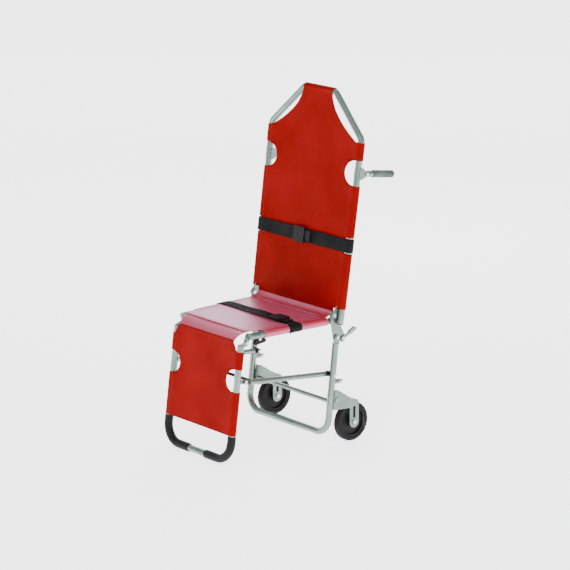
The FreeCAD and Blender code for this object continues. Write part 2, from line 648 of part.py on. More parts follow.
def struts():
    rear = side(strut_half, strut_rear)
    front_end = along(strut_rear, strut_axis, strut_length - 20)
    front = side(strut_half, front_end)
    tube = pipe(side(strut_half, along(strut_rear, strut_axis, 20)), front, strut_radius)
    tongue_x = leg_rest_half + tube_radius + layer_gap
    end_head = rod(front, side(strut_half, along(strut_rear, strut_axis, strut_length - 14)), strut_radius)
    tongue = slot_plate([along(strut_rear, strut_axis, strut_length - 22), strut_front], 8.0,
                        tongue_x, tongue_x + plate)
    hole = pin(tongue_x - 1, tongue_x + plate + 1, strut_front, pin_radius + 1.0)
    end_cap = end_head.fuse(tongue.cut(rod(rear, front, strut_radius))).cut(hole).removeSplitter()
    add_pair("strut_tube", tube)
    add("strut_front_ends", pair(end_cap))
    knuckle = pin(strut_half - strut_radius, strut_half + strut_radius - 0.2, strut_rear, strut_radius)
    eye = pin(strut_half - 20, strut_half + 20, strut_rear, pin_radius + running_fit)
    inner = rod(side(strut_half, along(strut_rear, strut_axis, 20)),
                side(strut_half, along(strut_rear, strut_axis, 40)), strut_radius - tube_wall)
    body = rod(rear, side(strut_half, along(strut_rear, strut_axis, 20)), strut_radius)
    add("strut_rear_ends", pair(body.fuse([knuckle, inner]).cut(eye).removeSplitter()))
    along_rod = along(strut_rear, strut_axis, strut_length - 34)
    cross = rod(side(-strut_half, along_rod), side(strut_half, along_rod), rod_radius)
    line = rod(rear, side(strut_half, strut_front), strut_radius)
    add("strut_cross_rod", cross.cut([line, mirrored(line)]))
    lug_x = leg_rest_half + tube_radius - plate
    front_bolt = pin(lug_x - 2, tongue_x + plate + 0.5, strut_front, pin_radius)
    front_bolt = front_bolt.fuse([pin(lug_x - 4, lug_x, strut_front, 6.0),
                                  pin(tongue_x + plate + 0.5, tongue_x + plate + 3, strut_front, 6.0)])
    add("strut_front_bolts", pair(front_bolt.removeSplitter()))


def controls():
    """Plungers that lock the struts, levers that lock the legs, and latches under the seat."""
    hub_at = along(strut_rear, leg_down, 26)
    start = along(hub_at, leg_rear, tube_radius + 1)
    barrel = rod(side(leg_half, start), side(leg_half, along(start, leg_rear, 16)), 8.0)
    stem_hole = rod(side(leg_half, start), side(leg_half, along(start, leg_rear, 17)), 4.0 + running_fit)
    base = rod(side(leg_half, hub_at), side(leg_half, along(start, leg_rear, 3)), 10.0)
    tube = rod(side(leg_half, leg_pivot), side(leg_half, along(leg_pivot, leg_down, 300)), tube_radius)
    add("plunger_barrels", pair(barrel.fuse(base).cut([tube, stem_hole]).removeSplitter()))
    stem = rod(side(leg_half, along(start, leg_rear, 1)), side(leg_half, along(start, leg_rear, 20)), 4.0)
    knob = rod(side(leg_half, along(start, leg_rear, 16.5)), side(leg_half, along(start, leg_rear, 32)), 9.0)
    knob = knob.makeFillet(2.0, [e for e in knob.Edges if e.Closed])
    add_pair("strut_lock_plunger", stem.fuse(knob).removeSplitter())
    heel = (leg_pivot[0] + 28, leg_pivot[1] - 8)
    tip = (heel[0] + 56, heel[1] + 29)
    lever = slot_plate([heel, tip], 5.5, lug_inner, lug_outer)
    paddle = slot_plate([along(tip, (-0.888, -0.46), 22), tip], 7.0, lug_inner - 3, lug_outer + 3)
    eye = pin(lug_inner - 1, lug_outer + 1, heel, pin_radius + running_fit)
    hub = pin(lug_inner, lug_outer, heel, 9.0)
    add_pair("leg_lock_lever", hub.fuse([lever, paddle]).cut(eye).removeSplitter())
    add("lock_lever_bolts", pair(bolt(rail_outer, lug_outer + 0.3, heel, pin_radius, 6.0, 2.5)))
    latch_y = -seat_depth + 86
    x0 = rail_half(latch_y) - tube_radius + 1
    hang = (latch_y, seat_height - tube_radius - 7)
    ear = slot_plate([(latch_y, seat_height - 6), hang], 6.0, x0, x0 + 4)
    rail = rod(Vector(rail_half(-400), -400, seat_height), Vector(rail_half(-50), -50, seat_height), tube_radius)
    eye = pin(x0 - 20, x0 + 20, hang, 3.0)
    ear = max(ear.cut([rail, eye]).Solids, key=lambda s: -s.CenterOfMass.z)
    add("latch_brackets", pair(ear))
    add("latch_pins", pair(pin(x0 - 11, x0 + 4, hang, 3.0)))
    toe = (latch_y - 16, hang[1] - 14)
    tail = (latch_y + 24, hang[1] - 9)
    latch = outline([hang, tail, toe], latch_round, x0 - 10.5, x0 - 0.5)
    add_pair("leg_rest_latch", latch.cut(pin(x0 - 20, x0 + 20, hang, 3.0 + running_fit)))


def join(name, parts):
    """Put several groups of like pieces on one body in a single node."""
    solids = []
    for part in parts:
        solids += nodes.pop(part).Solids
    add(name, group(solids))


def save_all():
    """Centre the chair over the origin in Y, stand it on the floor, and write each node."""
    box = FreeCAD.BoundBox()
    for shape in nodes.values():
        box.add(shape.optimalBoundingBox(False, False))
    shift = Vector(0, -(box.YMin + box.YMax) / 2, 0)
    os.makedirs("parts", exist_ok=True)
    for name, shape in nodes.items():
        shape.translate(shift)
        shape.exportStep("parts/" + name + ".step")
        if not shape.isValid() or not shape.Solids:
            print("CHECK", name, shape.isValid(), len(shape.Solids))
    print("shift", round(shift.y, 3), "box", box, "nodes", len(nodes))
    return shift


def main():
    seat_frame()
    seat_fabric()
    straps()
    back_frame()
    back_fabric()
    carry_handles()
    leg_rest()
    leg_rest_fabric()
    leg_frame()
    wheel_forks()
    wheels()
    struts()
    controls()
    join("seat_pivot_bolts", ["frame_pivot_bolts", "lock_lever_bolts", "latch_pins", "leg_rest_pivot_bolts"])
    join("leg_rest_lugs", ["leg_rest_hinge_fittings", "leg_rest_strut_lugs"])
    return save_all()


if __name__ == "__main__":
    main()
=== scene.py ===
"""Looks of a folding stair chair: stretched vinyl sheets, webbing straps, rubber, tubes and castings.

Metres, +Z up, -Y the front. The frame's nodes stay where they are; the sheets, straps and tyres made here
replace their plain stand-ins.
"""

import json
import logging
import math
from dataclasses import dataclass, field
from enum import Enum
from typing import Callable

import bpy
import numpy as np
from mathutils import Matrix, Vector


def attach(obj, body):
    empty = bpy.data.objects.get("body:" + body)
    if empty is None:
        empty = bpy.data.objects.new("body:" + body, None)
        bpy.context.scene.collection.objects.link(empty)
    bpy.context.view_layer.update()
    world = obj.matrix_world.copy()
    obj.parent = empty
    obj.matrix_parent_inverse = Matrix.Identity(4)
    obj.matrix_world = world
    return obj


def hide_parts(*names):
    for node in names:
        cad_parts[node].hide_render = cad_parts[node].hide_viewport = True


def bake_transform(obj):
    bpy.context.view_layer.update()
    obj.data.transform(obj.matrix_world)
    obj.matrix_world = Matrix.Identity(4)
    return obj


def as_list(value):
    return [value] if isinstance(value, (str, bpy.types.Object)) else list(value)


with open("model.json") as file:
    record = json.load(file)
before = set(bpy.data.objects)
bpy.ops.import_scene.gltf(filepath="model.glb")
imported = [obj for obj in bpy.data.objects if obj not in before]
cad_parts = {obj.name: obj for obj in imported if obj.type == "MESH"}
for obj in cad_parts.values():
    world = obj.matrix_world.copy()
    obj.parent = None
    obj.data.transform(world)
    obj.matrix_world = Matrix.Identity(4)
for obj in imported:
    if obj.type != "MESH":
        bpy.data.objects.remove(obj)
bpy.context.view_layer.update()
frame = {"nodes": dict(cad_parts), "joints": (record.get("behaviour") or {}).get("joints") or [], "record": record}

logging.basicConfig(level=logging.INFO, format="%(message)s")
LOG = logging.getLogger("stair_chair")

Array = np.ndarray
Pair = tuple[float, float]


class Side(Enum):
    """The sitter's left is +X."""

    LEFT = 1.0
    RIGHT = -1.0


def joint_place(name: str) -> Vector:
    """Where a joint stands in the shared frame, in metres."""
    found = next(j for j in frame["joints"] if j["name"] == name)
    return Vector(found["pos_m"])


@dataclass(frozen=True)
class Rig:
    """The sizes that the sheets share with the tubes that carry them."""

    tube: float = 0.0125
    gap: float = 0.0003
    cloth: float = 0.0025
    seat_height: float = 0.478
    seat_depth: float = 0.425
    recline: float = math.radians(7.8)
    leg_tilt: float = math.radians(7.4)
    back_set_back: float = 0.02181
    rest_set_back: float = 0.024

    @property
    def wrap(self) -> float:
        """Distance from a tube's centre-line to the middle of the cloth on it."""
        return self.tube + self.gap + self.cloth / 2


RIG = Rig()
CORNER_Y = joint_place("back_fold").y + RIG.back_set_back


# ---------------------------------------------------------------- meshes

def mesh_object(name: str, points: Array, faces: Array | list, uv: Array | None = None,
                smooth: bool = True) -> bpy.types.Object:
    """Puts points and faces in a mesh object at the origin.

    Args:
        name: The piece's name.
        points: (n, 3) places in metres.
        faces: Vertex numbers, face by face.
        uv: (n, 2) pattern coordinates in metres, one for each vertex, or None.
        smooth: Whether faces shade smoothly.

    Returns:
        The new object, linked to the scene.
    """
    mesh = bpy.data.meshes.new(name)
    mesh.from_pydata([tuple(p) for p in points], [], [tuple(int(i) for i in f) for f in faces])
    if uv is not None:
        layer = mesh.uv_layers.new(name="UVMap")
        corner = np.empty(len(mesh.loops), dtype=np.int32)
        mesh.loops.foreach_get("vertex_index", corner)
        layer.data.foreach_set("uv", np.asarray(uv, dtype=np.float32)[corner].ravel())
    mesh.polygons.foreach_set("use_smooth", np.full(len(mesh.polygons), smooth))
    mesh.update()
    piece = bpy.data.objects.new(name, mesh)
    bpy.context.scene.collection.objects.link(piece)
    return piece


def grid_faces(rows: int, columns: int, wrap_rows: bool = False, wrap_columns: bool = False) -> Array:
    """Quads of a grid of rows by columns, closed round either way where asked."""
    i = np.arange(rows if wrap_rows else rows - 1)[:, None]
    j = np.arange(columns if wrap_columns else columns - 1)[None, :]
    k = (i + 1) % rows
    m = (j + 1) % columns
    quads = np.stack([i * columns + j, i * columns + m, k * columns + m, k * columns + j], axis=-1)
    return quads.reshape(-1, 4)


def thicken(piece: bpy.types.Object, thickness: float) -> None:
    """Gives a surface a closed wall, half its thickness to each side."""
    solid = piece.modifiers.new("Wall", "SOLIDIFY")
    solid.thickness = thickness
    solid.offset = 0.0
    solid.use_rim = True


def bake_modifiers(piece: bpy.types.Object) -> None:
    """Turns the live modifiers into plain mesh, so that bending acts on the final shape."""
    graph = bpy.context.evaluated_depsgraph_get()
    mesh = bpy.data.meshes.new_from_object(piece.evaluated_get(graph))
    piece.modifiers.clear()
    piece.data = mesh


def surface_area(points: Array, faces: Array) -> float:
    """Area of a mesh of quads, as two triangles each."""
    a, b, c, d = (points[faces[:, k]] for k in range(4))
    first = np.linalg.norm(np.cross(b - a, c - a), axis=1)
    second = np.linalg.norm(np.cross(c - a, d - a), axis=1)
    return float((first + second).sum() / 2)


def stitches(name: str, places: Array, ways: Array, normals: Array, length: float = 0.0034,
             radius: float = 0.00042) -> bpy.types.Object:
    """A row of short thread stitches, each a six-sided bar with pointed ends.

    A stitch is three rings of six points along its way, the end rings drawn in to a third and sunk to the cloth.

    Args:
        name: The piece's name.
        places: (n, 3) middles on the cloth's surface.
        ways: (n, 3) unit directions of the seam.
        normals: (n, 3) unit directions out of the cloth.
        length: Length of a stitch.
        radius: Thread radius.

    Returns:
        One object with all the stitches.
    """
    turn = np.arange(6) * math.pi / 3
    steps = np.array([-0.5, -0.25, 0.25, 0.5]) * length
    shrink = np.array([0.3, 1.0, 1.0, 0.3])
    lift = np.array([-0.3, 0.55, 0.55, -0.3]) * radius
    across = np.cross(ways, normals)
    ring = (places[:, None, None, :] + ways[:, None, None, :] * steps[None, :, None, None]
            + across[:, None, None, :] * (np.cos(turn)[None, None, :, None] * shrink[None, :, None, None] * radius)
            + normals[:, None, None, :] * (np.sin(turn)[None, None, :, None] * shrink[None, :, None, None] * radius
                                           + lift[None, :, None, None]))
    count = len(places)
    sides = grid_faces(4, 6, wrap_columns=True)[:, ::-1]
    faces = [list(f + 24 * n) for n in range(count) for f in sides]
    for n in range(count):
        faces.append([24 * n + k for k in range(6)])
        faces.append([24 * n + 18 + k for k in reversed(range(6))])
    return mesh_object(name, ring.reshape(-1, 3), faces)


# ---------------------------------------------------------------- materials

class Nodes:
    """A small helper that adds nodes to a material or group and joins them."""

    def __init__(self, tree: bpy.types.NodeTree) -> None:
        """Keeps the tree that nodes go in."""
        self.tree = tree

    def new(self, kind: str, **values: object) -> bpy.types.Node:
        """Adds a node and sets its properties."""
        node = self.tree.nodes.new(kind)
        for key, value in values.items():
            setattr(node, key, value)
        return node

    def link(self, source: bpy.types.NodeSocket, target: bpy.types.NodeSocket) -> None:
        """Joins an output to an input."""
        self.tree.links.new(source, target)

    def math(self, operation: str, a: object, b: object = 0.0, clamp: bool = False) -> bpy.types.NodeSocket:
        """A Math node on two sockets or numbers."""
        node = self.new("ShaderNodeMath", operation=operation, use_clamp=clamp)
        for socket, value in zip(node.inputs, (a, b)):
            if isinstance(value, (int, float)):
                socket.default_value = value
            else:
                self.link(value, socket)
        return node.outputs[0]

    def ramp(self, source: bpy.types.NodeSocket, low: float, high: float, to_low: float = 0.0,
             to_high: float = 1.0) -> bpy.types.NodeSocket:
        """Maps a value from one range to another, clamped."""
        node = self.new("ShaderNodeMapRange")
        self.link(source, node.inputs["Value"])
        for key, value in (("From Min", low), ("From Max", high), ("To Min", to_low), ("To Max", to_high)):
            node.inputs[key].default_value = value
        return node.outputs["Result"]

    def mix(self, factor: bpy.types.NodeSocket, a: tuple, b: tuple) -> bpy.types.NodeSocket:
        """Blends two colours by a varying factor."""
        node = self.new("ShaderNodeMix", data_type="RGBA")
        self.link(factor, node.inputs[0])
        node.inputs[6].default_value = (*a, 1.0)
        node.inputs[7].default_value = (*b, 1.0)
        return node.outputs[2]


def make_group(name: str, inputs: dict[str, float], outputs: list[str],
               fill: Callable[[Nodes, bpy.types.Node, bpy.types.Node], None]) -> bpy.types.NodeTree:
    """Builds a shader node group with named float inputs, a Vector input, and float outputs."""
    tree = bpy.data.node_groups.new(name, "ShaderNodeTree")
    tree.interface.new_socket("Vector", in_out="INPUT", socket_type="NodeSocketVector")
    for key, value in inputs.items():
        socket = tree.interface.new_socket(key, in_out="INPUT", socket_type="NodeSocketFloat")
        socket.default_value = value
    for key in outputs:
        tree.interface.new_socket(key, in_out="OUTPUT", socket_type="NodeSocketFloat")
    nodes = Nodes(tree)
    fill(nodes, nodes.new("NodeGroupInput"), nodes.new("NodeGroupOutput"))
    return tree


def fill_grain(nodes: Nodes, inside: bpy.types.Node, out: bpy.types.Node) -> None:
    """Fine grain plus a broad patchy tone, both from noise."""
    fine = nodes.new("ShaderNodeTexNoise")
    fine.inputs["Detail"].default_value = 6.0
    nodes.link(inside.outputs["Vector"], fine.inputs["Vector"])
    nodes.link(inside.outputs["Scale"], fine.inputs["Scale"])
    broad = nodes.new("ShaderNodeTexNoise")
    broad.inputs["Detail"].default_value = 3.0
    nodes.link(inside.outputs["Vector"], broad.inputs["Vector"])
    nodes.link(nodes.math("MULTIPLY", inside.outputs["Scale"], 0.03), broad.inputs["Scale"])
    nodes.link(fine.outputs["Fac"], out.inputs["Height"])
    nodes.link(broad.outputs["Fac"], out.inputs["Tone"])


def fill_scuffs(nodes: Nodes, inside: bpy.types.Node, out: bpy.types.Node) -> None:
    """Long thin scratches where two stretched noises pass a threshold set by Amount."""
    masks = []
    for stretch in ((1.0, 0.06, 0.35), (0.3, 1.0, 0.05)):
        mapping = nodes.new("ShaderNodeMapping")
        mapping.inputs["Scale"].default_value = stretch
        mapping.inputs["Rotation"].default_value = (0.3, 0.5 * stretch[0], 0.7)
        nodes.link(inside.outputs["Vector"], mapping.inputs["Vector"])
        noise = nodes.new("ShaderNodeTexNoise")
        noise.inputs["Detail"].default_value = 2.0
        nodes.link(mapping.outputs["Vector"], noise.inputs["Vector"])
        nodes.link(inside.outputs["Scale"], noise.inputs["Scale"])
        level = nodes.math("SUBTRACT", noise.outputs["Fac"], nodes.math("SUBTRACT", 0.78, inside.outputs["Amount"]))
        masks.append(nodes.math("MULTIPLY", level, 18.0, clamp=True))
    nodes.link(nodes.math("MAXIMUM", masks[0], masks[1]), out.inputs["Mask"])


def fill_weave(nodes: Nodes, inside: bpy.types.Node, out: bpy.types.Node) -> None:
    """A plain weave: warp ridges and weft ridges take turns on top, from the signs of two sines."""
    split = nodes.new("ShaderNodeSeparateXYZ")
    nodes.link(inside.outputs["Vector"], split.inputs["Vector"])
    pitch = nodes.math("DIVIDE", math.pi, inside.outputs["Pitch"])
    u = nodes.math("MULTIPLY", split.outputs["X"], pitch)
    v = nodes.math("MULTIPLY", split.outputs["Y"], pitch)
    warp = nodes.math("ABSOLUTE", nodes.math("SINE", u))
    weft = nodes.math("ABSOLUTE", nodes.math("SINE", v))
    turn = nodes.math("MULTIPLY", nodes.math("SINE", nodes.math("ADD", u, math.pi / 2)),
                      nodes.math("SINE", nodes.math("ADD", v, math.pi / 2)))
    over = nodes.ramp(turn, -0.25, 0.25)
    first = nodes.math("MULTIPLY", warp, over)
    second = nodes.math("MULTIPLY", weft, nodes.math("SUBTRACT", 1.0, over))
    nodes.link(nodes.math("ADD", first, second), out.inputs["Height"])


GRAIN = make_group("fine_grain", {"Scale": 300.0}, ["Height", "Tone"], fill_grain)
SCUFFS = make_group("long_scuffs", {"Scale": 60.0, "Amount": 0.1}, ["Mask"], fill_scuffs)
WEAVE = make_group("plain_weave", {"Pitch": 0.0012}, ["Height"], fill_weave)


class Pattern(Enum):
    """Where a finish's coordinates come from."""

    OBJECT = "Object"
    UV = "UV"


@dataclass(frozen=True)
class Finish:
    """One material: its colours, gloss, grain, weave and wear."""

    name: str
    colour: tuple[float, float, float]
    shade: tuple[float, float, float]
    rough: Pair = (0.35, 0.5)
    metallic: float = 0.0
    grain_scale: float = 400.0
    grain_bump: float = 0.05
    weave: float = 0.0
    weave_bump: float = 0.0
    # Strength of the painted shade that darkens the weave's grooves.
    weave_groove_shade: float = 0.0
    scuff: float = 0.0
    scuff_colour: tuple[float, float, float] = (0.5, 0.5, 0.5)
    specular: float = 0.5
    sheen: float = 0.0
    sheen_rough: float = 0.5
    sheen_tint: tuple[float, float, float] = (1.0, 1.0, 1.0)
    ior: float = 1.5
    specular_tint: tuple[float, float, float] = (1.0, 1.0, 1.0)
    pattern: Pattern = Pattern.OBJECT

    def build(self) -> bpy.types.Material:
        """Makes the material's nodes.

        Returns:
            The material, with grain, weave and scuffs feeding colour, roughness and bump; the weave's part of the
            colour is painted shade in its grooves.
        """
        material = bpy.data.materials.new(self.name)
        material.use_nodes = True
        material.diffuse_color = (*self.colour, 1.0)
        nodes = Nodes(material.node_tree)
        shader = material.node_tree.nodes["Principled BSDF"]
        shader.inputs["Metallic"].default_value = self.metallic
        shader.inputs["Specular IOR Level"].default_value = self.specular
        shader.inputs["Sheen Weight"].default_value = self.sheen
        shader.inputs["Sheen Roughness"].default_value = self.sheen_rough
        shader.inputs["Sheen Tint"].default_value = (*self.sheen_tint, 1.0)
        shader.inputs["IOR"].default_value = self.ior
        shader.inputs["Specular Tint"].default_value = (*self.specular_tint, 1.0)
        place = nodes.new("ShaderNodeTexCoord").outputs["Object"]
        grain = nodes.new("ShaderNodeGroup", node_tree=GRAIN)
        grain.inputs["Scale"].default_value = self.grain_scale
        nodes.link(place, grain.inputs["Vector"])
        tone = nodes.ramp(grain.outputs["Tone"], 0.35, 0.65)
        colour = nodes.mix(tone, self.colour, self.shade)
        rough = nodes.ramp(grain.outputs["Tone"], 0.3, 0.7, *self.rough)
        height = nodes.math("MULTIPLY", grain.outputs["Height"], self.grain_bump)
        if self.weave:
            cloth = nodes.new("ShaderNodeGroup", node_tree=WEAVE)
            cloth.inputs["Pitch"].default_value = self.weave
            source = nodes.new("ShaderNodeUVMap", uv_map="UVMap").outputs["UV"]
            nodes.link(source if self.pattern is Pattern.UV else place, cloth.inputs["Vector"])
            ridge = cloth.outputs["Height"]
            height = nodes.math("ADD", height, nodes.math("MULTIPLY", ridge, self.weave_bump))
            # Painted shade: the colour is darkened in the weave's low grooves, most at the bottom of a groove.
            groove_shade_mix = nodes.new("ShaderNodeMix", data_type="RGBA", blend_type="MULTIPLY")
            nodes.link(nodes.ramp(ridge, 0.0, 0.9, self.weave_groove_shade, 0.0), groove_shade_mix.inputs[0])
            nodes.link(colour, groove_shade_mix.inputs[6])
            groove_shade_mix.inputs[7].default_value = (0.25, 0.25, 0.25, 1.0)
            colour = groove_shade_mix.outputs[2]
        if self.scuff:
            marks = nodes.new("ShaderNodeGroup", node_tree=SCUFFS)
            marks.inputs["Amount"].default_value = self.scuff
            marks.inputs["Scale"].default_value = 70.0
            nodes.link(place, marks.inputs["Vector"])
            worn = nodes.new("ShaderNodeMix", data_type="RGBA")
            nodes.link(nodes.math("MULTIPLY", marks.outputs["Mask"], 0.6), worn.inputs[0])
            nodes.link(colour, worn.inputs[6])
            worn.inputs[7].default_value = (*self.scuff_colour, 1.0)
            colour = worn.outputs[2]
            rough = nodes.math("ADD", rough, nodes.math("MULTIPLY", marks.outputs["Mask"], 0.12), clamp=True)
        bump = nodes.new("ShaderNodeBump")
        bump.inputs["Strength"].default_value = 0.6
        bump.inputs["Distance"].default_value = 0.0006
        nodes.link(height, bump.inputs["Height"])
        nodes.link(bump.outputs["Normal"], shader.inputs["Normal"])
        nodes.link(colour, shader.inputs["Base Color"])
        nodes.link(rough, shader.inputs["Roughness"])
        return material


FINISHES = {f.name: f.build() for f in (
    Finish("red_vinyl", (0.235, 0.0004, 0.0002), (0.195, 0.0003, 0.0002), rough=(0.45, 0.58), specular=0.03,
           grain_scale=260.0, grain_bump=0.25, weave=0.0011, weave_bump=0.35, weave_groove_shade=0.2, pattern=Pattern.UV),
    # Painted glare: a copy of the red vinyl for the seat, with a base colour nearly twice as light and pink-tinted
    # sheen and specular that paint in pink glare.
    Finish("seat_vinyl_painted_glare", (0.42, 0.004, 0.010), (0.36, 0.003, 0.008), rough=(0.28, 0.38), ior=2.3, specular=0.5,
           specular_tint=(1.0, 0.50, 0.90), sheen=1.0, sheen_rough=0.22,
           sheen_tint=(1.0, 0.50, 0.93), grain_scale=260.0, grain_bump=0.2,
           weave=0.0011, weave_bump=0.3, weave_groove_shade=0.15, pattern=Pattern.UV),
    Finish("red_thread", (0.30, 0.004, 0.004), (0.22, 0.003, 0.003), rough=(0.6, 0.75), grain_scale=2500.0),
    Finish("black_thread", (0.02, 0.02, 0.022), (0.01, 0.01, 0.011), rough=(0.6, 0.75), grain_scale=2500.0),
    Finish("black_webbing", (0.010, 0.010, 0.011), (0.005, 0.005, 0.006), rough=(0.6, 0.8), weave=0.0016,
           weave_bump=1.3, weave_groove_shade=0.75, grain_bump=0.15, pattern=Pattern.UV, specular=0.08),
    Finish("black_plastic", (0.009, 0.009, 0.010), (0.006, 0.006, 0.007), rough=(0.42, 0.55), grain_scale=900.0,
           specular=0.12, grain_bump=0.2, scuff=0.05, scuff_colour=(0.06, 0.06, 0.065)),
    Finish("black_tyre", (0.012, 0.012, 0.013), (0.018, 0.017, 0.017), rough=(0.6, 0.85), grain_scale=700.0,
           specular=0.1, grain_bump=0.5, scuff=0.04, scuff_colour=(0.07, 0.068, 0.062)),
    Finish("black_rubber", (0.008, 0.008, 0.009), (0.013, 0.013, 0.014), rough=(0.5, 0.65), grain_scale=1100.0,
           specular=0.1, grain_bump=0.6, scuff=0.03, scuff_colour=(0.05, 0.05, 0.05)),
    Finish("grey_rubber", (0.075, 0.11, 0.095), (0.05, 0.075, 0.065), rough=(0.5, 0.65), grain_scale=1100.0,
           grain_bump=0.4, scuff=0.03, scuff_colour=(0.2, 0.2, 0.2)),
    Finish("plated_steel", (0.60, 0.62, 0.60), (0.48, 0.50, 0.48), rough=(0.2, 0.34), metallic=1.0,
           grain_scale=600.0, grain_bump=0.05, scuff=0.06, scuff_colour=(0.32, 0.33, 0.32)),
    Finish("dark_steel", (0.055, 0.058, 0.062), (0.035, 0.037, 0.04), rough=(0.35, 0.5), metallic=0.8,
           grain_scale=600.0, grain_bump=0.1, scuff=0.06, scuff_colour=(0.3, 0.3, 0.3)),
    Finish("brass_bush", (0.56, 0.41, 0.17), (0.42, 0.3, 0.12), rough=(0.3, 0.45), metallic=1.0, grain_scale=700.0),
    Finish("cast_grey", (0.215, 0.27, 0.25), (0.155, 0.20, 0.185), rough=(0.38, 0.52), metallic=0.85,
           grain_scale=500.0, grain_bump=0.5, scuff=0.05, scuff_colour=(0.62, 0.64, 0.63)),
    Finish("bare_aluminium", (0.20, 0.255, 0.235), (0.14, 0.19, 0.17), rough=(0.2, 0.34), metallic=0.9,
           grain_scale=350.0, grain_bump=0.08, scuff=0.07, scuff_colour=(0.3, 0.33, 0.32)),
)}


def dress(piece: bpy.types.Object, finish: str) -> None:
    """Gives a piece one finish, in place of any it had."""
    piece.data.materials.clear()
    piece.data.materials.append(FINISHES[finish])


# ---------------------------------------------------------------- sheets

@dataclass
class Span:
    """A pair of tubes in one plane: where the plane starts, its direction, and which way its face looks."""

    start: Vector
    way: Vector
    face: Vector

    def place(self, x: Array, distance: Array, offset: Array) -> Array:
        """Points at x across, a distance along and an offset out of the plane."""
        base, way, face = (np.array(v) for v in (self.start, self.way, self.face))
        points = base + distance[..., None] * way + offset[..., None] * face
        points[..., 0] += x
        return points


